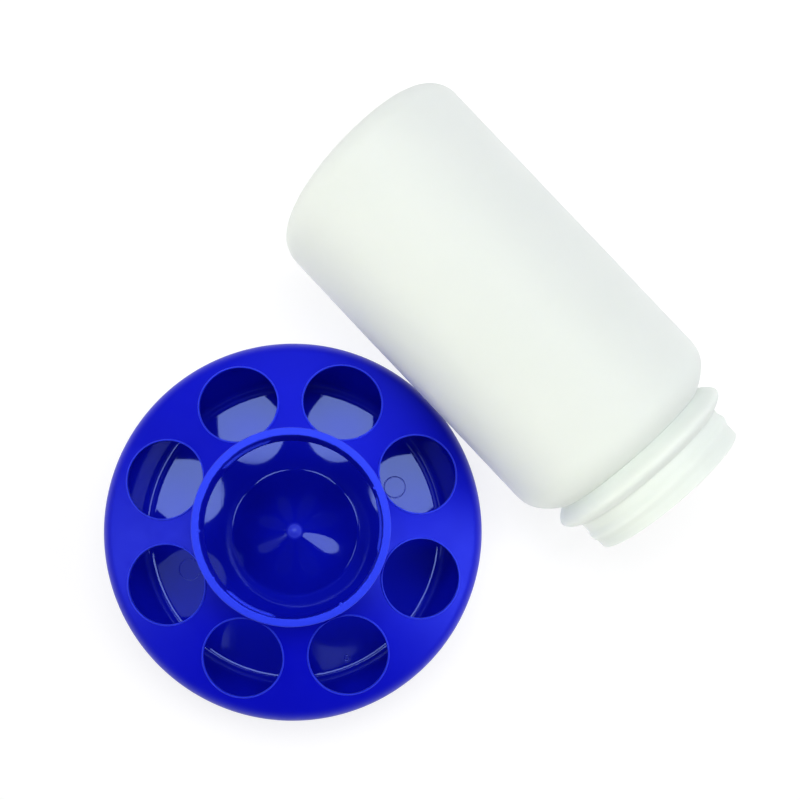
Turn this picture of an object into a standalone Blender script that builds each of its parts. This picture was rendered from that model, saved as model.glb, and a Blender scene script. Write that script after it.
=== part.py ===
"""Gravity feeder for chicks: a round two-piece base and a screw-in feed jar.

Units are metres in the scene; the driving dimensions below are millimetres.
The base stands on z = 0 with its axis on the world Z axis. The jar lies beside
it on the same surface, as it is stored before it is filled.
"""

import math

import bmesh
import bpy
from mathutils import Matrix, Vector

MM = 0.001

# ----------------------------------------------------------- driving dimensions
# feed pan
FLOOR_TOP = 2.4          # top of the dish floor
FLOOR_WALL = 1.8         # wall thickness of the dish
FLOOR_R = 64.6           # flat floor ends here
PAN_FILLET = 5.5         # inside fillet between floor and wall
PAN_WALL_ANGLE = 72.5    # slope of the dish wall, degrees from level
PAN_LIP_Z = 30.0         # top of the dish wall
PAN_LIP_R = 79.6         # outside of the lip's bead
CONE_R = 28.7            # where the cone's straight flank would meet the floor
CONE_SLOPE = 30.5        # slope of the flank, degrees from level
CONE_FOOT_R = 3.0        # radius between flank and floor
NUB_R = 3.5              # round dome on the cone's tip
NUB_H = 1.5
BOSS_R = 5.0             # centre post under the cone
FOOT_RINGS = ((34.0, 37.0), (58.5, 62.5))

# cover
COVER_REF_R = 57.6       # the plate passes this point ...
COVER_REF_Z = 41.5       # ... at this height
COVER_SLOPE = -0.374     # fall of the conical plate per mm outwards
COVER_WALL = 1.8
SHOULDER_R = 8.0         # rounding between plate and skirt
COVER_R = 81.8           # outside radius of the skirt
SKIRT_Z = 16.0           # lower edge of the skirt
PORT_COUNT = 8
PORT_RING_R = 57.6
PORT_R = 16.6
PORT_PHASE = 24.05       # first port, degrees from +X
PORT_BEAD = 1.0          # width of the raised edge round a port
PORT_BEAD_H = 0.5
COLLAR_IN = 36.3
COLLAR_OUT = 39.4
COLLAR_Z = 66.0
LUG_COUNT = 3
LUG_START = 224.0
LUG_SPAN = 36.0
LUG_DEPTH = 1.1
LUG_Z = 57.5
LUG_RISE = 2.0

# jar, measured from its mouth
JAR_R = 47.2
JAR_LEN = 190.5
JAR_WALL = 1.3
NECK_R = 35.1
NECK_IN = 32.6
GROOVE_R = 35.9
GROOVE_S = 24.3
BEAD_R = 41.4
BEAD_S = 18.6
BEAD_FROM = 14.0
SHOULDER_LEN = 17.0
SHOULDER_POWER = 2.5
BOTTOM_R = 12.0
PUSH_UP = 3.2
THREAD_R = 35.95
THREAD_PITCH = 4.2
THREAD_FROM = 5.2
THREAD_TURNS = 1.15
THREAD_START = -100.0    # degrees round the neck
THREAD_HALF = 3.2        # half of the ridge's width

# where the jar lies
JAR_HEADING = -46.7      # direction of the mouth, degrees from +X
JAR_SIDE = 125.4         # from the base's axis to the jar's axis
JAR_ALONG = 95.4         # mouth, ahead of the nearest point of that axis
JAR_STAND_OFF = 1.2      # mouth above the collar when the jar is upside down

# facets
SEG_PAN = 60
SEG_COVER = 72
SEG_PORT = 28
SEG_JAR = 56


# ---------------------------------------------------------------------- helpers
def clear_scene():
    for obj in list(bpy.data.objects):
        bpy.data.objects.remove(obj, do_unlink=True)


def material(name, color, roughness, coat=0.0):
    mat = bpy.data.materials.new(name)
    mat.use_nodes = True
    bsdf = mat.node_tree.nodes["Principled BSDF"]
    bsdf.inputs["Base Color"].default_value = (*color, 1.0)
    bsdf.inputs["Roughness"].default_value = roughness
    bsdf.inputs["Metallic"].default_value = 0.0
    bsdf.inputs["Coat Weight"].default_value = coat
    return mat


def arc(cr, cz, radius, a0, a1, steps):
    """Points of an arc in the turning plane, angles in degrees."""
    out = []
    for i in range(steps + 1):
        a = math.radians(a0 + (a1 - a0) * i / steps)
        out.append((cr + radius * math.cos(a), cz + radius * math.sin(a)))
    return out


def tidy(outline):
    """Drop points that repeat the one before them."""
    out = []
    for p in outline:
        if not out or math.hypot(p[0] - out[-1][0], p[1] - out[-1][1]) > 1e-4:
            out.append(p)
    if math.hypot(out[0][0] - out[-1][0], out[0][1] - out[-1][1]) < 1e-4:
        out.pop()
    return out


def turned(outline, seg, half_step=False):
    """A closed turned body from a closed (radius, height) outline in mm."""
    outline = tidy(outline)
    bm = bmesh.new()
    rings = []
    for r, z in outline:
        if r < 1e-5:
            rings.append([bm.verts.new((0.0, 0.0, z * MM))])
            continue
        ring = []
        for k in range(seg):
            a = 2 * math.pi * (k + (0.5 if half_step else 0.0)) / seg
            ring.append(bm.verts.new((r * math.cos(a) * MM, r * math.sin(a) * MM, z * MM)))
        rings.append(ring)
    count = len(rings)
    for i in range(count):
        low, high = rings[i], rings[(i + 1) % count]
        if len(low) == 1 and len(high) == 1:
            continue
        for k in range(seg):
            n = (k + 1) % seg
            if len(low) == 1:
                bm.faces.new((low[0], high[n], high[k]))
            elif len(high) == 1:
                bm.faces.new((low[k], low[n], high[0]))
            else:
                bm.faces.new((low[k], low[n], high[n], high[k]))
    bmesh.ops.recalc_face_normals(bm, faces=bm.faces)
    return bm


def add_object(name, bm, mat=None):
    mesh = bpy.data.meshes.new(name)
    bm.to_mesh(mesh)
    bm.free()
    mesh.shade_smooth()
    mesh.set_sharp_from_angle(angle=math.radians(32))
    obj = bpy.data.objects.new(name, mesh)
    bpy.context.scene.collection.objects.link(obj)
    if mat:
        mesh.materials.append(mat)
    return obj


def helper_object(name, bm):
    obj = add_object(name, bm)
    obj.hide_render = True
    obj.display_type = "WIRE"
    return obj


def boolean(obj, other, operation):
    mod = obj.modifiers.new(operation.lower() + "_" + other.name, "BOOLEAN")
    mod.operation = operation
    mod.solver = "EXACT"
    mod.object = other
    return mod


def sweep(rows):
    """A closed bar from a list of cross-sections with the same point count."""
    bm = bmesh.new()
    rings = [[bm.verts.new(p) for p in row] for row in rows]
    n = len(rings[0])
    for a, b in zip(rings, rings[1:]):
        for k in range(n):
            m = (k + 1) % n
            bm.faces.new((a[k], a[m], b[m], b[k]))
    bm.faces.new(list(reversed(rings[0])))
    bm.faces.new(rings[-1])
    bmesh.ops.recalc_face_normals(bm, faces=bm.faces)
    return bm


def join(parts):
    """One bmesh from several, kept as separate bodies."""
    out = bmesh.new()
    for bm in parts:
        mesh = bpy.data.meshes.new("tmp")
        bm.to_mesh(mesh)
        bm.free()
        out.from_mesh(mesh)
        bpy.data.meshes.remove(mesh)
    return out


# --------------------------------------------------------------------- feed pan
def cone_foot():
    """Radii between which the foot radius joins the flank to the floor."""
    tilt = math.radians(CONE_SLOPE)
    reach = CONE_FOOT_R * math.tan(tilt / 2)
    return CONE_R - reach * math.cos(tilt), CONE_R + reach


def cone_z(r):
    """Upper face of the cone and floor."""
    r_in, r_out = cone_foot()
    if r >= r_out:
        return FLOOR_TOP
    if r <= r_in:
        return FLOOR_TOP + (CONE_R - r) * math.tan(math.radians(CONE_SLOPE))
    return FLOOR_TOP + CONE_FOOT_R - math.sqrt(CONE_FOOT_R ** 2 - (r_out - r) ** 2)


def pan_outline():
    swing = 90.0 - (90.0 - PAN_WALL_ANGLE)
    # underside, from the axis outwards
    pts = [(0.0, 0.0), (BOSS_R, 0.0)]
    foot_in, foot_out = cone_foot()
    for r in (BOSS_R, foot_in, (foot_in + foot_out) / 2, foot_out):
        pts.append((r, cone_z(r) - FLOOR_WALL))
    under = FLOOR_TOP - FLOOR_WALL
    for a, b in FOOT_RINGS:
        pts += [(a, under), (a, 0.0), (b, 0.0), (b, under)]
    outer = arc(FLOOR_R, FLOOR_TOP + PAN_FILLET, PAN_FILLET + FLOOR_WALL, -90, -90 + swing, 4)
    pts += outer
    # outside of the wall up to the lip's bead
    slope = math.tan(math.radians(90 - PAN_WALL_ANGLE))
    inner = arc(FLOOR_R, FLOOR_TOP + PAN_FILLET, PAN_FILLET, -90, -90 + swing, 5)
    r_in = inner[-1][0] + (PAN_LIP_Z - inner[-1][1]) * slope
    z_b = PAN_LIP_Z - 7.0
    r_b = outer[-1][0] + (z_b - outer[-1][1]) * slope
    pts += [(r_b, z_b), (PAN_LIP_R, z_b + 1.2), (PAN_LIP_R, z_b + 3.2),
            (PAN_LIP_R - 0.6, PAN_LIP_Z - 1.0), (r_in + 1.2, PAN_LIP_Z), (r_in, PAN_LIP_Z - 0.3)]
    # inside of the dish down to the floor and up the cone
    pts += list(reversed(inner))
    steps = 4
    for i in range(steps + 1):
        r = foot_out + (foot_in - foot_out) * i / steps
        pts.append((r, cone_z(r)))
    # the flank ends in a soft round dome
    r_nub = NUB_R + 1.2
    low = cone_z(r_nub)
    pts += [(r_nub, low), (NUB_R, low + 0.4), (NUB_R * 0.8, low + 0.55 + NUB_H * 0.42),
            (NUB_R * 0.45, low + 0.55 + NUB_H * 0.82), (0.0, low + 0.55 + NUB_H)]
    return pts


# ------------------------------------------------------------------------ cover
def plate_z(r):
    return COVER_REF_Z + COVER_SLOPE * (r - COVER_REF_R)


def cover_outline():
    tilt = math.degrees(math.atan(-COVER_SLOPE))
    cr = COVER_R - SHOULDER_R
    r_t = cr + SHOULDER_R * math.sin(math.radians(tilt))
    cz = plate_z(r_t) - SHOULDER_R * math.cos(math.radians(tilt))
    drop = COVER_WALL / math.cos(math.radians(tilt))
    inner_r = SHOULDER_R - COVER_WALL
    pts = [(COLLAR_IN + 0.35, COLLAR_Z), (COLLAR_IN, COLLAR_Z - 0.35),
           (COLLAR_IN, plate_z(COLLAR_IN) - drop + 0.6),
           (COLLAR_IN + 0.6, plate_z(COLLAR_IN + 0.6) - drop)]
    pts += arc(cr, cz, inner_r, 90 - tilt, 0, 3)
    pts += [(COVER_R - COVER_WALL, SKIRT_Z), (COVER_R - 0.4, SKIRT_Z), (COVER_R, SKIRT_Z + 0.4)]
    pts += arc(cr, cz, SHOULDER_R, 0, 90 - tilt, 5)
    pts += [(COLLAR_OUT + 0.8, plate_z(COLLAR_OUT + 0.8)), (COLLAR_OUT, plate_z(COLLAR_OUT) + 0.8),
            (COLLAR_OUT, COLLAR_Z - 0.35), (COLLAR_OUT - 0.35, COLLAR_Z)]
    return pts


def port_posts(radius, z0, z1):
    """Eight upright cylinders on the port ring."""
    parts = []
    for k in range(PORT_COUNT):
        a = math.radians(PORT_PHASE + 360.0 * k / PORT_COUNT)
        bm = turned([(0, z0), (radius, z0), (radius, z1), (0, z1)], SEG_PORT)
        bmesh.ops.transform(bm, matrix=Matrix.Translation(
            (PORT_RING_R * math.cos(a) * MM, PORT_RING_R * math.sin(a) * MM, 0)), verts=bm.verts)
        parts.append(bm)
    return join(parts)


def bead_posts():
    """Short posts whose tops follow the plate, raised by the bead height."""
    parts = []
    radius = PORT_R + PORT_BEAD
    for k in range(PORT_COUNT):
        a = math.radians(PORT_PHASE + 360.0 * k / PORT_COUNT)
        cx, cy = PORT_RING_R * math.cos(a), PORT_RING_R * math.sin(a)
        bm = bmesh.new()
        low, high = [], []
        for j in range(SEG_PORT):
            b = 2 * math.pi * j / SEG_PORT
            x, y = cx + radius * math.cos(b), cy + radius * math.sin(b)
            z = plate_z(math.hypot(x, y))
            low.append(bm.verts.new((x * MM, y * MM, (z - 0.9) * MM)))
            high.append(bm.verts.new((x * MM, y * MM, (z + PORT_BEAD_H) * MM)))
        top = bm.verts.new((cx * MM, cy * MM, (plate_z(PORT_RING_R) + PORT_BEAD_H) * MM))
        bottom = bm.verts.new((cx * MM, cy * MM, (plate_z(PORT_RING_R) - 0.9) * MM))
        for j in range(SEG_PORT):
            n = (j + 1) % SEG_PORT
            bm.faces.new((low[j], low[n], high[n], high[j]))
            bm.faces.new((high[j], high[n], top))
            bm.faces.new((low[n], low[j], bottom))
        bmesh.ops.recalc_face_normals(bm, faces=bm.faces)
        parts.append(bm)
    return join(parts)


def lug_bars():
    """Thread lugs inside the collar, rising anticlockwise, thinning at both ends."""
    parts = []
    steps = 8
    for k in range(LUG_COUNT):
        rows = []
        for i in range(steps + 1):
            t = i / steps
            a = math.radians(LUG_START + 360.0 * k / LUG_COUNT + LUG_SPAN * t)
            depth = LUG_DEPTH * min(1.0, 0.25 + 4.0 * min(t, 1.0 - t))
            z = LUG_Z + LUG_RISE * t
            row = []
            for r, dz in ((COLLAR_IN + 0.9, -2.1), (COLLAR_IN + 0.9, 2.1),
                          (COLLAR_IN - depth, 0.8), (COLLAR_IN - depth, -0.8)):
                row.append((r * math.cos(a) * MM, r * math.sin(a) * MM, (z + dz) * MM))
            rows.append(row)
        parts.append(sweep(rows))
    return join(parts)


# -------------------------------------------------------------------------- jar
def shoulder_r(s):
    t = min(max((s - GROOVE_S) / SHOULDER_LEN, 0.0), 1.0)
    return JAR_R - (JAR_R - GROOVE_R) * (1.0 - t) ** SHOULDER_POWER


def bead_r(s):
    """Stop bead under the shoulder: a rounded ridge between neck and groove."""
    if s <= BEAD_S:
        t = (s - BEAD_FROM) / (BEAD_S - BEAD_FROM)
        return NECK_R + 0.5 + (BEAD_R - NECK_R - 0.5) * math.sin(0.5 * math.pi * t)
    t = (s - BEAD_S) / (GROOVE_S - BEAD_S)
    return GROOVE_R + (BEAD_R - GROOVE_R) * math.cos(0.5 * math.pi * t)


def jar_outline():
    """Closed outline, mouth at z = 0 and bottom at z = JAR_LEN."""
    out = [(NECK_R - 0.5, 0.0), (NECK_R, 0.5), (NECK_R + 0.3, BEAD_FROM - 0.8)]
    steps = 4
    for i in range(steps + 1):
        s = BEAD_FROM + (BEAD_S - BEAD_FROM) * i / steps
        out.append((bead_r(s), s))
    for i in range(1, steps + 1):
        s = BEAD_S + (GROOVE_S - BEAD_S) * i / steps
        out.append((bead_r(s), s))
    steps = 6
    for i in range(1, steps + 1):
        s = GROOVE_S + SHOULDER_LEN * (i / steps) ** 1.3
        out.append((shoulder_r(s), s))
    corner = arc(JAR_R - BOTTOM_R, JAR_LEN - BOTTOM_R, BOTTOM_R, 0, 90, 6)
    out += corner
    # push-up: the bottom rises inwards to a shallow dome
    out += [(31.5, JAR_LEN), (27.0, JAR_LEN - 1.4), (14.0, JAR_LEN - 2.7), (0.0, JAR_LEN - PUSH_UP)]
    # inside, from the bottom back to the mouth
    w = JAR_WALL
    out += [(0.0, JAR_LEN - PUSH_UP - w), (14.0, JAR_LEN - 2.7 - w), (27.0, JAR_LEN - 1.4 - w), (31.5, JAR_LEN - w)]
    out += list(reversed(arc(JAR_R - BOTTOM_R, JAR_LEN - BOTTOM_R, BOTTOM_R - w, 0, 90, 5)))
    steps = 4
    for i in range(steps, -1, -1):
        s = GROOVE_S + SHOULDER_LEN * (i / steps) ** 1.3
        out.append((min(shoulder_r(s) - w - 0.4 * (1 - i / steps), JAR_R - w), s + 0.8))
    out += [(NECK_IN + 1.6, GROOVE_S - 1.4), (NECK_IN + 1.0, BEAD_FROM), (NECK_IN, BEAD_FROM - 3.0),
            (NECK_IN, 0.4), (NECK_IN + 0.4, 0.0)]
    return out


def thread_bar():
    """Low rounded thread on the neck."""
    rows = []
    steps = int(28 * THREAD_TURNS)
    for i in range(steps + 1):
        t = i / steps
        a = math.radians(THREAD_START) + 2 * math.pi * THREAD_TURNS * t
        s = THREAD_FROM + THREAD_PITCH * THREAD_TURNS * t
        peak = NECK_R - 0.2 + (THREAD_R - NECK_R + 0.2) * min(1.0, 12.0 * min(t, 1.0 - t) + 0.25)
        row = []
        w = THREAD_HALF
        for r, ds in ((NECK_R - 0.9, -w), (peak - 0.4, -0.5 * w), (peak, 0.0), (peak - 0.4, 0.5 * w), (NECK_R - 0.9, w)):
            row.append((r * math.cos(a) * MM, r * math.sin(a) * MM, (s + ds) * MM))
        rows.append(row)
    return sweep(rows)


def jar_rest_matrix():
    """The jar lies on one of its facets, its local -Y side down."""
    h = math.radians(JAR_HEADING)
    ahead = Vector((math.cos(h), math.sin(h), 0.0))
    side = Vector((-math.sin(h), math.cos(h), 0.0))
    z_axis = -ahead
    y_axis = Vector((0.0, 0.0, 1.0))
    x_axis = y_axis.cross(z_axis)
    lie = JAR_R * math.cos(math.pi / SEG_JAR)
    mouth = side * JAR_SIDE + ahead * JAR_ALONG + Vector((0.0, 0.0, lie))
    m = Matrix((x_axis, y_axis, z_axis)).transposed().to_4x4()
    m.translation = mouth * MM
    return m, ahead, mouth


def swing_axis():
    """The one rotation that carries the lying jar to upside down on the collar.

    It turns the jar over the top of the base, so it takes the long way round.
    Returns the axis, a point on it and the angle in degrees.
    """
    _, d1, m1 = jar_rest_matrix()
    d2 = Vector((0.0, 0.0, -1.0))
    m2 = Vector((0.0, 0.0, COLLAR_Z + JAR_STAND_OFF))
    u = (d1 - d2).cross(m2 - m1).normalized()
    p1 = d1 - u * d1.dot(u)
    p2 = d2 - u * d2.dot(u)
    short = math.degrees(math.atan2(u.dot(p1.cross(p2)), p1.dot(p2)))
    if short < 0:
        u, short = -u, -short
    u = -u
    angle = 360.0 - short
    rot = Matrix.Rotation(math.radians(angle), 3, u)
    # point on the axis: centre of the arc from m1 to m2
    half = math.radians(angle) / 2.0
    mid = (m1 + m2) / 2.0
    chord = m2 - m1
    centre = mid + u.cross(chord) * (0.5 / math.tan(half))
    return u, centre, angle, rot


# ------------------------------------------------------------------------ build
def build():
    clear_scene()

    pan = add_object("feed_pan", turned(pan_outline(), SEG_PAN),
                     material("pan_blue", (0.005, 0.008, 0.42), 0.08, 0.3))

    cover = add_object("feeder_cover", turned(cover_outline(), SEG_COVER),
                       material("cover_blue", (0.008, 0.016, 0.60), 0.35))
    beads = helper_object("cut_beads", bead_posts())
    ports = helper_object("cut_ports", port_posts(PORT_R, plate_z(PORT_RING_R) - 20, plate_z(PORT_RING_R) + 20))
    lugs = helper_object("cut_lugs", lug_bars())
    boolean(cover, beads, "UNION")
    boolean(cover, ports, "DIFFERENCE")
    boolean(cover, lugs, "UNION")

    # the cover lifts along the base's axis
    lift = bpy.data.objects.new("cover_lift_axis", None)
    bpy.context.scene.collection.objects.link(lift)
    for obj in (cover, beads, ports, lugs):
        obj.parent = lift
    lift.parent = None

    jar = add_object("jar", turned(jar_outline(), SEG_JAR, half_step=True),
                     material("jar_white", (0.83, 0.88, 0.83), 0.3))
    thread = helper_object("cut_thread", thread_bar())
    boolean(jar, thread, "UNION")

    rest, _, _ = jar_rest_matrix()
    axis, centre, _, _ = swing_axis()
    pivot = bpy.data.objects.new("jar_swing_axis", None)
    pivot.empty_display_type = "SINGLE_ARROW"
    bpy.context.scene.collection.objects.link(pivot)
    pivot.parent = lift
    frame = axis.to_track_quat("Z", "Y").to_matrix().to_4x4()
    frame.translation = centre * MM
    bpy.context.view_layer.update()
    pivot.matrix_world = frame
    bpy.context.view_layer.update()
    for obj in (jar, thread):
        obj.parent = pivot
        obj.matrix_parent_inverse = Matrix.Identity(4)
        obj.matrix_local = frame.inverted() @ rest
    bpy.context.view_layer.update()


build()
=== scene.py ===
import math

import bmesh
import bpy
from mathutils import Matrix, Vector, noise


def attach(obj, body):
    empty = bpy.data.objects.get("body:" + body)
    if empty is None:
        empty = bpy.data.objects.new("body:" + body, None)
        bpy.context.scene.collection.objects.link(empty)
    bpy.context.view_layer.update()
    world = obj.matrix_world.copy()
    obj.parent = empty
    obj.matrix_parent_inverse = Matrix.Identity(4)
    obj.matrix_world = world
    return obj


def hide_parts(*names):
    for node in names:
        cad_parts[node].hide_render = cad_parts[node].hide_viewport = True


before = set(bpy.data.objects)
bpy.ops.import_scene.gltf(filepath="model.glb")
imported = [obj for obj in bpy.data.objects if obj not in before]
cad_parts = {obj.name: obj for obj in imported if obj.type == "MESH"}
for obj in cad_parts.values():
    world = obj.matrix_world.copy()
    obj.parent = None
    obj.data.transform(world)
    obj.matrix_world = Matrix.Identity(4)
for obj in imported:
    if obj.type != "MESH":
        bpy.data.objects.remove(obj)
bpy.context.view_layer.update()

MM = 0.001

# ------------------------------------------------------- dimensions, millimetres
FLOOR_TOP = 2.4
FLOOR_WALL = 1.8
FLOOR_R = 64.6
PAN_FILLET = 5.5
PAN_WALL_ANGLE = 72.5
PAN_LIP_Z = 30.0
PAN_LIP_R = 79.6
CONE_R = 28.7
CONE_SLOPE = 30.5
CONE_FOOT_R = 3.0
NUB_R = 3.4
NUB_TOP = 0.55
BOSS_R = 5.0
FOOT_RINGS = ((34.0, 37.0), (58.5, 62.5))

COVER_REF_R = 57.6
COVER_REF_Z = 41.5
COVER_SLOPE = -0.374
COVER_WALL = 1.8
SHOULDER_R = 8.0
COVER_R = 81.8
SKIRT_Z = 16.0
PORT_COUNT = 8
PORT_RING_R = 57.6
PORT_R = 16.6
PORT_PHASE = 24.05
COLLAR_IN = 36.3
COLLAR_OUT = 39.4
COLLAR_Z = 66.0
LUG_START = 224.0
LUG_SPAN = 36.0
LUG_DEPTH = 1.1
LUG_Z = 57.5
LUG_RISE = 2.0

JAR_R = 47.2
JAR_LEN = 190.5
JAR_WALL = 1.3
NECK_R = 35.1
NECK_IN = 32.6
GROOVE_R = 35.9
GROOVE_S = 24.3
BEAD_R = 41.4
BEAD_S = 18.6
BEAD_FROM = 14.0
SHOULDER_LEN = 17.0
SHOULDER_POWER = 2.5
BOTTOM_R = 12.0
PUSH_UP = 3.2
THREAD_R = 35.95
THREAD_PITCH = 4.2
THREAD_FROM = 5.2
THREAD_TURNS = 1.15
THREAD_START = -100.0
THREAD_HALF = 3.2

JAR_HEADING = -46.7
JAR_SIDE = 125.4
JAR_ALONG = 95.4
JAR_LIE = 47.2 * math.cos(math.pi / 56)

SEG = 240
SEG_PORT = 112


# ----------------------------------------------------------------- camera
def add_camera():
    cam = bpy.data.cameras.new("camera")
    cam.sensor_width = 36.0
    cam.lens = 954.4 / 800.0 * 36.0
    cam.shift_x = (400.0 - 350.0) / 800.0
    cam.shift_y = (510.0 - 400.0) / 800.0
    cam.clip_start = 0.02
    cam.clip_end = 80.0
    obj = bpy.data.objects.new("camera", cam)
    turn = Vector((3.3074, -1.6691, 0.2087)) * math.pi / 180.0
    rot = Matrix.Rotation(turn.length, 4, turn.normalized())
    rot.translation = Vector((12.242, -15.106, 441.716)) * MM
    bpy.context.scene.collection.objects.link(obj)
    obj.matrix_world = rot
    bpy.context.scene.camera = obj
    return obj


add_camera()


# ----------------------------------------------------------------- mesh helpers
def rounded(points, steps=6):
    """Closed outline from (radius, height, corner radius) points."""
    out = []
    count = len(points)
    for i, (x, y, rad) in enumerate(points):
        here = Vector((x, y))
        if rad <= 0.0:
            out.append((x, y))
            continue
        a = Vector(points[i - 1][:2]) - here
        b = Vector(points[(i + 1) % count][:2]) - here
        la, lb = a.length, b.length
        a.normalize()
        b.normalize()
        ang = math.acos(max(-1.0, min(1.0, a.dot(b))))
        t = min(rad / math.tan(ang / 2), 0.49 * la, 0.49 * lb)
        rr = t * math.tan(ang / 2)
        centre = here + (a + b).normalized() * (rr / math.sin(ang / 2))
        p0 = here + a * t - centre
        p1 = here + b * t - centre
        a0 = math.atan2(p0.y, p0.x)
        sweep_angle = (math.atan2(p1.y, p1.x) - a0 + math.pi) % (2 * math.pi) - math.pi
        n = max(2, int(steps * max(1.0, abs(sweep_angle))))
        for k in range(n + 1):
            ak = a0 + sweep_angle * k / n
            out.append((centre.x + rr * math.cos(ak), centre.y + rr * math.sin(ak)))
    return out


def dense(outline, step):
    """Split long straight stretches of a closed outline."""
    out = []
    for i, p in enumerate(outline):
        q = outline[(i + 1) % len(outline)]
        out.append(p)
        n = int(math.hypot(q[0] - p[0], q[1] - p[1]) / step)
        for k in range(1, n + 1):
            t = k / (n + 1)
            out.append((p[0] + (q[0] - p[0]) * t, p[1] + (q[1] - p[1]) * t))
    return out


def tidy(outline):
    out = []
    for p in outline:
        if not out or math.hypot(p[0] - out[-1][0], p[1] - out[-1][1]) > 2e-3:
            out.append(p)
    if math.hypot(out[0][0] - out[-1][0], out[0][1] - out[-1][1]) < 2e-3:
        out.pop()
    return out


def arc(cr, cz, radius, a0, a1, steps):
    out = []
    for i in range(steps + 1):
        a = math.radians(a0 + (a1 - a0) * i / steps)
        out.append((cr + radius * math.cos(a), cz + radius * math.sin(a)))
    return out


def turned(outline, angles):
    """A closed turned body; angles is a count or a list of directions."""
    outline = tidy(outline)
    if isinstance(angles, int):
        angles = [2 * math.pi * k / angles for k in range(angles)]
    seg = len(angles)
    bm = bmesh.new()
    rings = []
    for r, z in outline:
        if r < 1e-5:
            rings.append([bm.verts.new((0.0, 0.0, z * MM))])
        else:
            rings.append([bm.verts.new((r * math.cos(a) * MM, r * math.sin(a) * MM, z * MM)) for a in angles])
    for i in range(len(rings)):
        low, high = rings[i], rings[(i + 1) % len(rings)]
        if len(low) == 1 and len(high) == 1:
            continue
        for k in range(seg):
            n = (k + 1) % seg
            if len(low) == 1:
                bm.faces.new((low[0], high[n], high[k]))
            elif len(high) == 1:
                bm.faces.new((low[k], low[n], high[0]))
            else:
                bm.faces.new((low[k], low[n], high[n], high[k]))
    bmesh.ops.recalc_face_normals(bm, faces=bm.faces)
    return bm


def sweep(rows, closed=False):
    """A bar from cross-sections with the same point count, or a closed ring."""
    bm = bmesh.new()
    rings = [[bm.verts.new(p) for p in row] for row in rows]
    n = len(rings[0])
    pairs = list(zip(rings, rings[1:]))
    if closed:
        pairs.append((rings[-1], rings[0]))
    for a, b in pairs:
        for k in range(n):
            m = (k + 1) % n
            bm.faces.new((a[k], a[m], b[m], b[k]))
    if not closed:
        bm.faces.new(list(reversed(rings[0])))
        bm.faces.new(rings[-1])
    bmesh.ops.recalc_face_normals(bm, faces=bm.faces)
    return bm


def join(parts):
    out = bmesh.new()
    for bm in parts:
        mesh = bpy.data.meshes.new("tmp")
        bm.to_mesh(mesh)
        bm.free()
        out.from_mesh(mesh)
        bpy.data.meshes.remove(mesh)
    return out


def new_object(name, bm):
    mesh = bpy.data.meshes.new(name)
    bm.to_mesh(mesh)
    bm.free()
    obj = bpy.data.objects.new(name, mesh)
    bpy.context.scene.collection.objects.link(obj)
    return obj


def combine(obj, other_bm, operation):
    """Exact Boolean, applied at once; the second body is removed."""
    other = new_object("tmp_body", other_bm)
    mod = obj.modifiers.new("b", "BOOLEAN")
    mod.operation = operation
    mod.solver = "EXACT"
    mod.object = other
    dg = bpy.context.evaluated_depsgraph_get()
    mesh = bpy.data.meshes.new_from_object(obj.evaluated_get(dg))
    old = obj.data
    obj.modifiers.remove(mod)
    obj.data = mesh
    bpy.data.meshes.remove(old)
    old = other.data
    bpy.data.objects.remove(other)
    bpy.data.meshes.remove(old)


def clean(obj):
    """Weld coincident points and drop slivers left by the Booleans."""
    bm = bmesh.new()
    bm.from_mesh(obj.data)
    bmesh.ops.remove_doubles(bm, verts=bm.verts, dist=2e-6)
    bmesh.ops.dissolve_degenerate(bm, edges=bm.edges, dist=1e-6)
    bm.to_mesh(obj.data)
    bm.free()


def shade(obj, degrees):
    obj.data.shade_smooth()
    obj.data.set_sharp_from_angle(angle=math.radians(degrees))


def small_noise(x, y, z, scale):
    return noise.noise(Vector((x, y, z)) * scale)


# ------------------------------------------------------------------- feed pan
def cone_z(r):
    """Straight flank, run into the floor by a small foot radius."""
    tilt = math.radians(CONE_SLOPE)
    reach = CONE_FOOT_R * math.tan(tilt / 2)
    r_out = CONE_R + reach
    r_in = CONE_R - reach * math.cos(tilt)
    if r >= r_out:
        return FLOOR_TOP
    if r <= r_in:
        return FLOOR_TOP + (CONE_R - r) * math.tan(tilt)
    return FLOOR_TOP + CONE_FOOT_R - math.sqrt(CONE_FOOT_R ** 2 - (r_out - r) ** 2)


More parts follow.
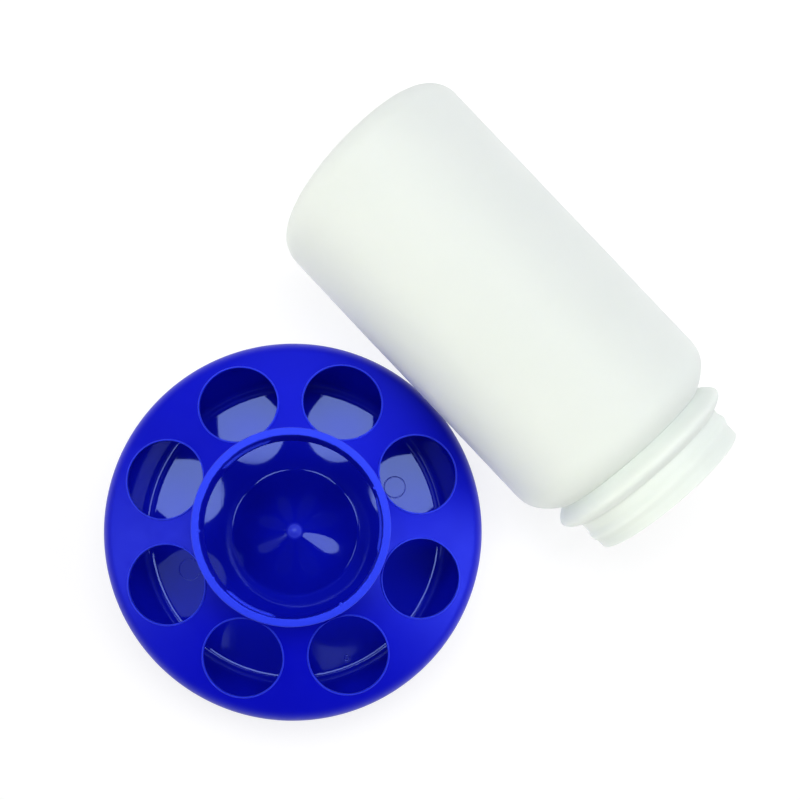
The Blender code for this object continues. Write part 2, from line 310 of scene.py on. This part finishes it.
def pan_outline():
    swing = PAN_WALL_ANGLE
    pts = [(0.0, 0.0), (BOSS_R - 0.3, 0.0), (BOSS_R, 0.3)]
    for i in range(17):
        r = BOSS_R + (CONE_R + 2.0 - BOSS_R) * i / 16
        pts.append((r, cone_z(r) - FLOOR_WALL))
    under = FLOOR_TOP - FLOOR_WALL
    for a, b in FOOT_RINGS:
        pts += [(a, under), (a, 0.15), (a + 0.15, 0.0), (b - 0.15, 0.0), (b, 0.15), (b, under)]
    outer = arc(FLOOR_R, FLOOR_TOP + PAN_FILLET, PAN_FILLET + FLOOR_WALL, -90, -90 + swing, 14)
    pts += outer
    slope = math.tan(math.radians(90 - PAN_WALL_ANGLE))
    inner = arc(FLOOR_R, FLOOR_TOP + PAN_FILLET, PAN_FILLET, -90, -90 + swing, 16)
    r_in = inner[-1][0] + (PAN_LIP_Z - inner[-1][1]) * slope
    z_b = PAN_LIP_Z - 7.0
    r_b = outer[-1][0] + (z_b - outer[-1][1]) * slope
    pts += [(r_b, z_b)]
    mid_z = z_b + 2.2
    for i in range(9):
        a = math.radians(-75 + 150 * i / 8)
        pts.append((PAN_LIP_R - 1.0 + math.cos(a), mid_z + 1.3 * math.sin(a)))
    pts += [(PAN_LIP_R - 0.75, PAN_LIP_Z - 0.9), (PAN_LIP_R - 0.95, PAN_LIP_Z - 0.35), (PAN_LIP_R - 1.4, PAN_LIP_Z),
            (r_in + 0.45, PAN_LIP_Z), (r_in + 0.1, PAN_LIP_Z - 0.15), (r_in - 0.1, PAN_LIP_Z - 0.5)]
    pts += list(reversed(inner))
    foot = CONE_R + 1.2
    pts += [(FLOOR_R - (FLOOR_R - foot) * i / 8, FLOOR_TOP) for i in range(1, 8)]
    # close rings keep the flat floor flat right up to the foot radius
    pts += [(foot + 1.2, FLOOR_TOP), (foot + 0.5, FLOOR_TOP), (foot + 0.15, FLOOR_TOP)]
    pts += [(foot - 2.6 * i / 20, cone_z(foot - 2.6 * i / 20)) for i in range(21)]
    top = foot - 2.6
    pts += [(top - 0.15, cone_z(top - 0.15)), (top - 0.5, cone_z(top - 0.5))]
    # the flank ends in a soft round dome with the gate's low mark on it
    r_nub = NUB_R + 1.3
    steps = 16
    for i in range(1, steps + 1):
        r = top - 0.5 + (r_nub - top + 0.5) * i / steps
        pts.append((r, cone_z(r)))
    low = cone_z(r_nub)
    crown = math.tan(math.radians(CONE_SLOPE)) * r_nub / 2
    for i in range(1, 25):
        r = r_nub * (1 - i / 24)
        mark = NUB_TOP * math.cos(0.5 * math.pi * min(1.0, r / NUB_R)) ** 2
        pts.append((r, low + crown * (1 - (r / r_nub) ** 2) + mark))
    pts[-1] = (0.0, low + crown + NUB_TOP)
    return pts


def groove_ring(cx, cy, radius, width, depth, z):
    """A thin half-round ring to cut a circle into a flat face."""
    rows = []
    n = max(24, int(radius * 14))
    for i in range(n):
        a = 2 * math.pi * i / n
        row = []
        for k in range(8):
            b = 2 * math.pi * k / 8
            r = radius + width * math.cos(b)
            row.append(((cx + r * math.cos(a)) * MM, (cy + r * math.sin(a)) * MM, (z + depth * math.sin(b)) * MM))
        rows.append(row)
    return sweep(rows, closed=True)


def make_pan():
    obj = new_object("feed_dish", turned(pan_outline(), SEG))
    rings = []
    for radius, angle, size, width in ((50.2, 24.6, 4.9, 0.32), (51.2, 199.7, 4.8, 0.24), (62.0, 292.5, 1.15, 0.24)):
        a = math.radians(angle)
        rings.append(groove_ring(radius * math.cos(a), radius * math.sin(a), size, width, 0.17, FLOOR_TOP))
    combine(obj, join(rings), "DIFFERENCE")
    clean(obj)
    # the gate's mark is dull (rougher); its paler colour is painted sheen standing for a soft highlight on the nub
    gate = obj.data.attributes.new("gate", "FLOAT", "POINT")
    for v, item in zip(obj.data.vertices, gate.data):
        x, y, z = (c / MM for c in v.co)
        r = math.hypot(x, y)
        item.value = min(1.0, max(0.0, (NUB_R + 0.5 - r) / 1.4)) if z > FLOOR_TOP + 3 else 0.0
    shade(obj, 34)
    return obj


# ---------------------------------------------------------------------- cover
def plate_z(r):
    return COVER_REF_Z + COVER_SLOPE * (r - COVER_REF_R)


def cover_outline():
    drop = COVER_WALL * math.sqrt(1 + COVER_SLOPE ** 2)
    inside = COVER_R - COVER_WALL
    pts = rounded([
        (COLLAR_OUT, COLLAR_Z, 0.55),
        (COLLAR_IN, COLLAR_Z, 0.35),
        (COLLAR_IN, plate_z(COLLAR_IN) - drop, 0.6),
        (inside, plate_z(inside) - drop, SHOULDER_R - COVER_WALL),
        (inside, SKIRT_Z, 0.3),
        (COVER_R, SKIRT_Z, 0.5),
        (COVER_R, plate_z(COVER_R), SHOULDER_R),
        (COLLAR_OUT, plate_z(COLLAR_OUT), 1.0),
    ], steps=9)
    return dense(pts, 2.4)


def port_centres():
    for k in range(PORT_COUNT):
        a = math.radians(PORT_PHASE + 360.0 * k / PORT_COUNT)
        yield PORT_RING_R * math.cos(a), PORT_RING_R * math.sin(a)


def port_posts(radius):
    parts = []
    for cx, cy in port_centres():
        bm = turned([(0, 20), (radius, 20), (radius, 62), (0, 62)], SEG_PORT)
        bmesh.ops.transform(bm, matrix=Matrix.Translation((cx * MM, cy * MM, 0)), verts=bm.verts)
        parts.append(bm)
    return join(parts)


RIM = ((0.02, -2.0), (0.0, -1.2), (0.0, 0.05), (0.04, 0.22), (0.13, 0.35), (0.26, 0.42), (0.4, 0.43),
       (0.54, 0.37), (0.67, 0.26), (0.76, 0.1), (0.82, -0.1), (0.95, -0.5), (1.0, -1.4), (0.7, -2.0))


def port_rims():
    """Low rounded edges round the ports, following the plate."""
    parts = []
    for cx, cy in port_centres():
        rows = []
        for j in range(SEG_PORT):
            b = 2 * math.pi * (j + 0.5) / SEG_PORT
            row = []
            for dr, dz in RIM:
                x = cx + (PORT_R + dr) * math.cos(b)
                y = cy + (PORT_R + dr) * math.sin(b)
                row.append((x * MM, y * MM, (plate_z(math.hypot(x, y)) + dz) * MM))
            rows.append(row)
        parts.append(sweep(rows, closed=True))
    return join(parts)


def lug_bars():
    parts = []
    steps = 30
    for k in range(3):
        rows = []
        for i in range(steps + 1):
            t = i / steps
            a = math.radians(LUG_START + 120.0 * k + LUG_SPAN * t)
            end = min(t, 1.0 - t)
            depth = LUG_DEPTH * min(1.0, 0.12 + 9.0 * end) ** 0.6
            z = LUG_Z + LUG_RISE * t
            row = []
            for r, dz in ((COLLAR_IN + 0.9, -2.1), (COLLAR_IN + 0.9, 1.55), (COLLAR_IN, 1.4), (COLLAR_IN - depth * 0.45, 1.28),
                          (COLLAR_IN - depth * 0.72, 1.12), (COLLAR_IN - depth * 0.92, 0.85), (COLLAR_IN - depth, 0.45),
                          (COLLAR_IN - depth, -0.55), (COLLAR_IN - depth * 0.88, -0.95), (COLLAR_IN - depth * 0.55, -1.25)):
                row.append((r * math.cos(a) * MM, r * math.sin(a) * MM, (z + dz) * MM))
            rows.append(row)
        parts.append(sweep(rows))
    return join(parts)


def flash_marks():
    """Small slivers of moulding flash on the collar's inner edge."""
    parts = []
    for angle, size, up in ((25.0, 0.65, 0.1), (183.0, 0.7, 0.2), (303.0, 0.8, 0.1), (352.0, 0.4, 0.1), (214.0, 0.4, 0.1)):
        a = math.radians(angle)
        bm = bmesh.new()
        bmesh.ops.create_icosphere(bm, subdivisions=2, radius=size * MM)
        for v in bm.verts:
            v.co *= 1.0 + 0.35 * noise.noise(v.co * 2600 + Vector((angle, 0, 0)))
            v.co.z *= 0.7
        bmesh.ops.transform(bm, verts=bm.verts, matrix=Matrix.Translation(
            (COLLAR_IN * math.cos(a) * MM, COLLAR_IN * math.sin(a) * MM, (COLLAR_Z - 0.45 + up) * MM)))
        parts.append(bm)
    return join(parts)


def make_cover():
    bm = turned(cover_outline(), SEG)
    # the collar's inner top edge is a little uneven, as trimmed
    for v in bm.verts:
        x, y, z = (c / MM for c in v.co)
        r = math.hypot(x, y)
        if z > COLLAR_Z - 0.8 and r < COLLAR_IN + 0.5:
            push = 0.17 * small_noise(x, y, 0.0, 0.55) + 0.09 * small_noise(x, y, 3.0, 1.9)
            k = (r + push) / r
            v.co = Vector((x * k, y * k, z + 0.4 * push)) * MM
    obj = new_object("port_cover", bm)
    combine(obj, port_posts(PORT_R + 0.35), "DIFFERENCE")
    combine(obj, port_rims(), "UNION")
    combine(obj, lug_bars(), "UNION")
    combine(obj, flash_marks(), "UNION")
    clean(obj)
    # painted highlight: the collar's top, the lug tops and the port rims get a paler blue (the edge attribute) that
    # stands for light caught on them
    edge = obj.data.attributes.new("edge", "FLOAT", "POINT")
    centres = list(port_centres())
    for v, item in zip(obj.data.vertices, edge.data):
        x, y, z = (c / MM for c in v.co)
        r = math.hypot(x, y)
        value = 0.0
        if z > COLLAR_Z - 0.4:
            value = 1.0
        elif r < COLLAR_IN - 0.2 and abs(z - LUG_Z) < 5:
            turn = (math.degrees(math.atan2(y, x)) - LUG_START + 3.0) % 120.0 - 3.0
            if z > LUG_Z + LUG_RISE * turn / LUG_SPAN + 0.3:
                value = 1.0
        elif COLLAR_OUT + 2 < r < COVER_R - 2 and z - plate_z(r) > 0.10:
            near = min(math.hypot(x - cx, y - cy) for cx, cy in centres)
            if near < PORT_R + 1.2:
                value = 0.75
        item.value = value
    shade(obj, 36)
    return obj


# ------------------------------------------------------------------------ jar
def shoulder_r(s):
    t = min(max((s - GROOVE_S) / SHOULDER_LEN, 0.0), 1.0)
    return JAR_R - (JAR_R - GROOVE_R) * (1.0 - t) ** SHOULDER_POWER


def bead_r(s):
    if s <= BEAD_S:
        t = (s - BEAD_FROM) / (BEAD_S - BEAD_FROM)
        return NECK_R + 0.5 + (BEAD_R - NECK_R - 0.5) * math.sin(0.5 * math.pi * t)
    t = (s - BEAD_S) / (GROOVE_S - BEAD_S)
    return GROOVE_R + (BEAD_R - GROOVE_R) * math.cos(0.5 * math.pi * t)


def jar_outline():
    out = arc(NECK_R - 0.5, 0.5, 0.5, -90, 0, 5)
    out += [(NECK_R + 0.3 * i / 36, 0.5 + (BEAD_FROM - 1.3) * i / 36) for i in range(1, 37)]
    out += [(bead_r(BEAD_FROM + (BEAD_S - BEAD_FROM) * i / 12), BEAD_FROM + (BEAD_S - BEAD_FROM) * i / 12) for i in range(13)]
    out += [(bead_r(BEAD_S + (GROOVE_S - BEAD_S) * i / 14), BEAD_S + (GROOVE_S - BEAD_S) * i / 14) for i in range(1, 15)]
    for i in range(1, 25):
        s = GROOVE_S + SHOULDER_LEN * (i / 24) ** 1.4
        out.append((shoulder_r(s), s))
    s0 = GROOVE_S + SHOULDER_LEN
    s1 = JAR_LEN - BOTTOM_R
    out += [(JAR_R, s0 + (s1 - s0) * i / 26) for i in range(1, 26)]
    out += arc(JAR_R - BOTTOM_R, s1, BOTTOM_R, 0, 90, 16)
    out += [(33.2, JAR_LEN), (32.0, JAR_LEN - 0.15), (30.5, JAR_LEN - 0.75), (28.8, JAR_LEN - 1.25), (27.0, JAR_LEN - 1.55),
            (24.0, JAR_LEN - 1.9), (20.0, JAR_LEN - 2.3), (14.0, JAR_LEN - 2.75), (7.0, JAR_LEN - 3.1), (0.0, JAR_LEN - PUSH_UP)]
    w = JAR_WALL
    out += [(0.0, JAR_LEN - PUSH_UP - w), (7.0, JAR_LEN - 3.1 - w), (14.0, JAR_LEN - 2.75 - w), (20.0, JAR_LEN - 2.3 - w),
            (27.0, JAR_LEN - 1.55 - w), (30.5, JAR_LEN - 0.75 - w), (33.2, JAR_LEN - w)]
    out += list(reversed(arc(JAR_R - BOTTOM_R, s1, BOTTOM_R - w, 0, 90, 12)))
    out += [(JAR_R - w, s1 - (s1 - s0) * i / 8) for i in range(1, 8)]
    for i in range(16, -1, -1):
        t = i / 16
        s = GROOVE_S + SHOULDER_LEN * t ** 1.4
        out.append((min(shoulder_r(s) - w - 0.4 * (1 - t), JAR_R - w), s + 0.8))
    out += [(NECK_IN + 1.7, GROOVE_S - 0.6), (NECK_IN + 1.65, GROOVE_S - 2.2), (NECK_IN + 2.3, BEAD_S + 0.5), (NECK_IN + 2.2, BEAD_S - 1.5),
            (NECK_IN + 1.0, BEAD_FROM), (NECK_IN + 0.3, BEAD_FROM - 2.0), (NECK_IN, BEAD_FROM - 4.0), (NECK_IN, 6.0),
            (NECK_IN, 0.5), (NECK_IN + 0.15, 0.15), (NECK_IN + 0.5, 0.0)]
    return out


def jar_angles():
    """Even directions, with a few more beside the parting line on both sides."""
    found = {round(2 * math.pi * (k + 0.5) / 224, 9) for k in range(224)}
    for centre in (0.0, math.pi):
        for d in (-1.0, -0.7, -0.5, -0.35, -0.2, 0.0, 0.2, 0.35, 0.5, 0.7, 1.0):
            found.add(round((centre + math.radians(d)) % (2 * math.pi), 9))
    out = []
    for a in sorted(found):
        if not out or a - out[-1] > 1e-4:
            out.append(a)
    return out


def thread_swell(angle, s):
    """Height of the low, broad thread ridge on the blown neck."""
    best = 0.0
    total = 2 * math.pi * THREAD_TURNS
    turned_by = (angle - math.radians(THREAD_START)) % (2 * math.pi)
    while turned_by <= total:
        u = (s - THREAD_FROM - THREAD_PITCH * turned_by / (2 * math.pi)) / THREAD_HALF
        if abs(u) < 1.0:
            ends = min(1.0, 9.0 * min(turned_by, total - turned_by) / total)
            rise = 0.5 - 0.5 * math.cos(math.pi * ends)
            best = max(best, (THREAD_R - NECK_R) * rise * math.cos(0.5 * math.pi * u) ** 2)
        turned_by += 2 * math.pi
    return best


def jar_matrix():
    h = math.radians(JAR_HEADING)
    ahead = Vector((math.cos(h), math.sin(h), 0.0))
    side = Vector((-math.sin(h), math.cos(h), 0.0))
    z_axis = -ahead
    y_axis = Vector((0.0, 0.0, 1.0))
    m = Matrix((y_axis.cross(z_axis), y_axis, z_axis)).transposed().to_4x4()
    m.translation = (side * JAR_SIDE + ahead * JAR_ALONG + Vector((0.0, 0.0, JAR_LIE))) * MM
    return m


def make_jar():
    bm = turned(jar_outline(), jar_angles())
    for v in bm.verts:
        x, y, z = (c / MM for c in v.co)
        r = math.hypot(x, y)
        if r < 1e-6:
            continue
        outside = z > 1.0 and r > (JAR_R - 0.6 if 50 < z < JAR_LEN - BOTTOM_R else 33.5)
        a = math.atan2(y, x)
        off = min(abs(a), math.pi - abs(a)) * r
        push = 0.0
        if z < BEAD_FROM + 0.5 and r > NECK_R - 0.2:
            push += thread_swell(a, z)
        if outside and r > JAR_R - 14:
            push += 0.13 * math.exp(-(off / 0.28) ** 2)
        # a blown wall is never perfectly round
        if z > GROOVE_S + 8:
            push += 0.12 * small_noise(x, y, z, 0.03)
        k = (r + push) / r
        v.co.x *= k
        v.co.y *= k
        # the lying side rests flat, so nothing goes below the standing surface
        low = -JAR_LIE + 0.05
        if v.co.y / MM < low:
            v.co.y = low * MM
    obj = new_object("feed_jar", bm)
    # pinch line across the bottom, where the blown tube was closed
    rows = []
    for i in range(41):
        x = -25.5 + 51.0 * i / 40
        r = abs(x)
        z = JAR_LEN - PUSH_UP + (0.45 * r / 14 if r < 14 else 0.45 + 1.2 * (r - 14) / 13)
        high = 0.35 * min(1.0, (25.5 - r) / 3.0 + 0.05)
        rows.append([(x * MM, -0.8 * MM, (z - 0.6) * MM), (x * MM, -0.45 * MM, (z + high * 0.8) * MM),
                     (x * MM, 0.0, (z + high) * MM), (x * MM, 0.45 * MM, (z + high * 0.8) * MM),
                     (x * MM, 0.8 * MM, (z - 0.6) * MM)])
    combine(obj, sweep(rows), "UNION")
    clean(obj)
    obj.data.transform(jar_matrix())
    shade(obj, 40)
    return obj


# ------------------------------------------------------------------ materials
def new_material(name):
    mat = bpy.data.materials.new(name)
    mat.use_nodes = True
    tree = mat.node_tree
    bsdf = tree.nodes["Principled BSDF"]
    coord = tree.nodes.new("ShaderNodeTexCoord")
    return mat, tree, bsdf, coord.outputs["Object"]


def noise_node(tree, coord, scale, detail=4.0, rough=0.5, stretch=None):
    node = tree.nodes.new("ShaderNodeTexNoise")
    node.inputs["Scale"].default_value = scale
    node.inputs["Detail"].default_value = detail
    node.inputs["Roughness"].default_value = rough
    if stretch:
        mapping = tree.nodes.new("ShaderNodeMapping")
        mapping.inputs["Scale"].default_value = stretch
        tree.links.new(coord, mapping.inputs["Vector"])
        coord = mapping.outputs["Vector"]
    tree.links.new(coord, node.inputs["Vector"])
    return node.outputs["Fac"]


def ramp(tree, value, stops):
    node = tree.nodes.new("ShaderNodeValToRGB")
    while len(node.color_ramp.elements) < len(stops):
        node.color_ramp.elements.new(0.5)
    for element, (pos, color) in zip(node.color_ramp.elements, stops):
        element.position = pos
        element.color = (*color, 1.0) if len(color) == 3 else color
    tree.links.new(value, node.inputs["Fac"])
    return node.outputs["Color"]


def map_range(tree, value, a, b, lo, hi):
    node = tree.nodes.new("ShaderNodeMapRange")
    node.inputs["From Min"].default_value = a
    node.inputs["From Max"].default_value = b
    node.inputs["To Min"].default_value = lo
    node.inputs["To Max"].default_value = hi
    tree.links.new(value, node.inputs["Value"])
    return node.outputs["Result"]


def bump(tree, height, strength, distance, normal=None):
    node = tree.nodes.new("ShaderNodeBump")
    node.inputs["Strength"].default_value = strength
    node.inputs["Distance"].default_value = distance
    tree.links.new(height, node.inputs["Height"])
    if normal:
        tree.links.new(normal, node.inputs["Normal"])
    return node.outputs["Normal"]


def cover_material():
    mat, tree, bsdf, co = new_material("satin_blue")
    tone = noise_node(tree, co, 38.0, 3.0)
    body = ramp(tree, tone, [(0.3, (0.0013, 0.0020, 0.418)), (0.7, (0.0016, 0.0026, 0.452))])
    # painted highlight: where the edge attribute is set, the base colour is mixed to a paler blue that stands for light
    # on the collar's top, the lug tops and the port rims
    edge = tree.nodes.new("ShaderNodeAttribute")
    edge.attribute_name = "edge"
    mix = tree.nodes.new("ShaderNodeMix")
    mix.data_type = "RGBA"
    mix.inputs[7].default_value = (0.0190, 0.0380, 0.660, 1.0)
    tree.links.new(edge.outputs["Fac"], mix.inputs[0])
    tree.links.new(body, mix.inputs[6])
    tree.links.new(mix.outputs[2], bsdf.inputs["Base Color"])
    fine = noise_node(tree, co, 2600.0, 2.0)
    wide = noise_node(tree, co, 160.0, 5.0, 0.6)
    tree.links.new(map_range(tree, wide, 0.3, 0.7, 0.36, 0.44), bsdf.inputs["Roughness"])
    n = bump(tree, wide, 0.10, 0.0004)
    n = bump(tree, fine, 0.10, 0.0001, n)
    tree.links.new(n, bsdf.inputs["Normal"])
    bsdf.inputs["IOR"].default_value = 1.5
    bsdf.inputs["Specular IOR Level"].default_value = 1.0
    bsdf.inputs["Specular Tint"].default_value = (0.062, 0.106, 1.0, 1.0)
    return mat


def pan_material():
    mat, tree, bsdf, co = new_material("gloss_blue")
    tone = noise_node(tree, co, 30.0, 3.0)
    body = ramp(tree, tone, [(0.3, (0.0026, 0.0056, 0.480)), (0.7, (0.0031, 0.0068, 0.522))])
    # painted sheen: the nub's mask mixes in a paler blue that stands for a soft highlight on the nub; the same mask
    # also makes the gate's mark rougher
    gate = tree.nodes.new("ShaderNodeAttribute")
    gate.attribute_name = "gate"
    mix = tree.nodes.new("ShaderNodeMix")
    mix.data_type = "RGBA"
    mix.inputs[7].default_value = (0.0300, 0.0450, 0.760, 1.0)
    tree.links.new(gate.outputs["Fac"], mix.inputs[0])
    tree.links.new(body, mix.inputs[6])
    tree.links.new(mix.outputs[2], bsdf.inputs["Base Color"])
    haze = noise_node(tree, co, 70.0, 6.0, 0.65)
    dull = tree.nodes.new("ShaderNodeMath")
    dull.operation = "MULTIPLY_ADD"
    dull.inputs[1].default_value = 0.36
    tree.links.new(gate.outputs["Fac"], dull.inputs[0])
    tree.links.new(map_range(tree, haze, 0.35, 0.75, 0.035, 0.085), dull.inputs[2])
    tree.links.new(dull.outputs["Value"], bsdf.inputs["Roughness"])
    wave = noise_node(tree, co, 45.0, 1.0)
    n = bump(tree, wave, 0.09, 0.0006)
    scratch = noise_node(tree, co, 420.0, 3.0, 0.6, (1.0, 0.06, 1.0))
    n = bump(tree, map_range(tree, scratch, 0.62, 0.7, 0.0, 1.0), 0.05, 0.00005, n)
    tree.links.new(n, bsdf.inputs["Normal"])
    bsdf.inputs["IOR"].default_value = 1.5
    bsdf.inputs["Specular IOR Level"].default_value = 0.90
    bsdf.inputs["Specular Tint"].default_value = (0.34, 0.48, 1.0, 1.0)
    return mat


def jar_material():
    mat, tree, bsdf, co = new_material("natural_white")
    tone = noise_node(tree, co, 22.0, 4.0)
    tree.links.new(ramp(tree, tone, [(0.3, (0.722, 0.768, 0.746)), (0.7, (0.738, 0.782, 0.762))]), bsdf.inputs["Base Color"])
    wide = noise_node(tree, co, 90.0, 4.0, 0.55)
    tree.links.new(map_range(tree, wide, 0.3, 0.7, 0.44, 0.56), bsdf.inputs["Roughness"])
    n = bump(tree, wide, 0.08, 0.0006)
    fine = noise_node(tree, co, 1500.0, 2.0)
    n = bump(tree, fine, 0.08, 0.0001, n)
    tree.links.new(n, bsdf.inputs["Normal"])
    bsdf.inputs["IOR"].default_value = 1.5
    bsdf.inputs["Specular IOR Level"].default_value = 0.22
    bsdf.inputs["Subsurface Weight"].default_value = 1.0
    bsdf.inputs["Subsurface Radius"].default_value = (1.0, 1.0, 0.95)
    bsdf.inputs["Subsurface Scale"].default_value = 0.0028
    return mat


def dress(obj, mat, body, node):
    obj.data.materials.clear()
    obj.data.materials.append(mat)
    for p in obj.data.polygons:
        p.material_index = 0
    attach(obj, body)
    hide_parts(node)


dress(make_pan(), pan_material(), "feed_pan", "feed_pan")
dress(make_cover(), cover_material(), "feeder_cover", "feeder_cover")
dress(make_jar(), jar_material(), "jar", "jar")
# the photographed blue plastic doesn't mirror the jar
bpy.data.objects["feed_jar"].visible_glossy = False


# ---------------------------------------------------------------------- stage
def add_floor():
    bm = bmesh.new()
    bmesh.ops.create_grid(bm, x_segments=1, y_segments=1, size=40.0)
    obj = new_object("floor", bm)
    obj.location = (0.0, 0.0, -0.0003)
    mat = bpy.data.materials.new("floor_white")
    mat.use_nodes = True
    bsdf = mat.node_tree.nodes["Principled BSDF"]
    bsdf.inputs["Base Color"].default_value = (0.32, 0.32, 0.32, 1.0)
    bsdf.inputs["Roughness"].default_value = 0.9
    bsdf.inputs["Specular IOR Level"].default_value = 0.0
    bsdf.inputs["Emission Color"].default_value = (1.0, 1.0, 1.0, 1.0)
    bsdf.inputs["Emission Strength"].default_value = 0.78
    obj.data.materials.append(mat)


def panel(name, place, target, size_x, size_y, radiance, color=(1.0, 1.0, 1.0)):
    light = bpy.data.lights.new(name, "AREA")
    light.shape = "RECTANGLE"
    light.size = size_x
    light.size_y = size_y
    light.energy = radiance * math.pi * size_x * size_y
    light.color = color
    obj = bpy.data.objects.new(name, light)
    bpy.context.scene.collection.objects.link(obj)
    obj.location = place
    obj.rotation_euler = (Vector(target) - Vector(place)).to_track_quat("-Z", "Y").to_euler()
    obj.visible_camera = False
    return obj


def only_for(light, name):
    """Limit a light to one piece."""
    group = bpy.data.collections.new(light.name + "_group")
    group.objects.link(bpy.data.objects[name])
    light.light_linking.receiver_collection = group


def around(azimuth, from_vertical, distance):
    a, t = math.radians(azimuth), math.radians(from_vertical)
    return (distance * math.sin(t) * math.cos(a), distance * math.sin(t) * math.sin(a), distance * math.cos(t))


def add_world():
    world = bpy.data.worlds.new("studio")
    bpy.context.scene.world = world
    world.use_nodes = True
    tree = world.node_tree
    back = tree.nodes["Background"]
    coord = tree.nodes.new("ShaderNodeTexCoord")
    split = tree.nodes.new("ShaderNodeSeparateXYZ")
    tree.links.new(coord.outputs["Generated"], split.inputs["Vector"])
    tree.links.new(ramp(tree, split.outputs["Z"], [
        (0.0, (0.80, 0.80, 0.80)), (0.05, (0.74, 0.74, 0.74)), (0.14, (0.50, 0.50, 0.50)), (0.30, (0.24, 0.24, 0.24)),
        (0.45, (0.03, 0.03, 0.03)), (0.85, (0.02, 0.02, 0.02))]), back.inputs["Color"])
    back.inputs["Strength"].default_value = 1.0


add_floor()
add_world()
panel("key_panel", (0.0, 0.42, 1.1), (0.0, 0.42, 0.0), 1.2, 0.54, 4.5)
panel("key_right", (0.345, 0.10, 1.1), (0.345, 0.10, 0.0), 0.51, 0.10, 4.5)
panel("key_left", (-0.37, 0.10, 1.1), (-0.37, 0.10, 0.0), 0.46, 0.10, 4.5)
panel("right_box", around(-13.0, 53.5, 1.2), (0.0, 0.0, 0.03), 0.78, 0.42, 3.3)
panel("left_box", around(189.0, 53.0, 1.2), (0.0, 0.0, 0.03), 0.70, 0.34, 0.9)
panel("left_low", around(207.0, 62.0, 1.2), (0.0, 0.0, 0.03), 0.34, 0.20, 0.25)
panel("ceiling_patch", (0.035, -0.164, 1.1), (0.035, -0.164, 0.0), 0.066, 0.044, 0.55)
panel("left_veil", (-0.32, -0.04, 1.1), (-0.32, -0.04, 0.0), 0.36, 0.24, 0.7)
fill = panel("jar_fill", around(226.0, 58.0, 1.6), (0.05, 0.05, 0.03), 1.6, 0.9, 3.5, (1.0, 0.99, 0.82))
only_for(fill, "feed_jar")
edge = panel("jar_edge", around(43.0, 66.0, 1.6), (0.1, 0.1, 0.05), 1.5, 0.7, 0.5)
only_for(edge, "feed_jar")
lift = panel("pan_lift", around(270.0, 25.0, 1.2), (0.0, 0.0, 0.01), 0.30, 0.30, 3.0)
lift.visible_glossy = False
only_for(lift, "feed_dish")
sheen = panel("right_sheen", around(-12.0, 52.0, 1.2), (0.0, 0.0, 0.03), 0.62, 0.42, 5.4)
only_for(sheen, "port_cover")
sheen = panel("left_sheen", around(184.0, 52.0, 1.2), (0.0, 0.0, 0.03), 0.62, 0.38, 5.2)
only_for(sheen, "port_cover")
sheen = panel("top_sheen", around(80.0, 49.0, 1.2), (0.0, 0.0, 0.03), 1.2, 0.36, 1.8)
only_for(sheen, "port_cover")

bpy.context.scene.view_settings.view_transform = "Standard"
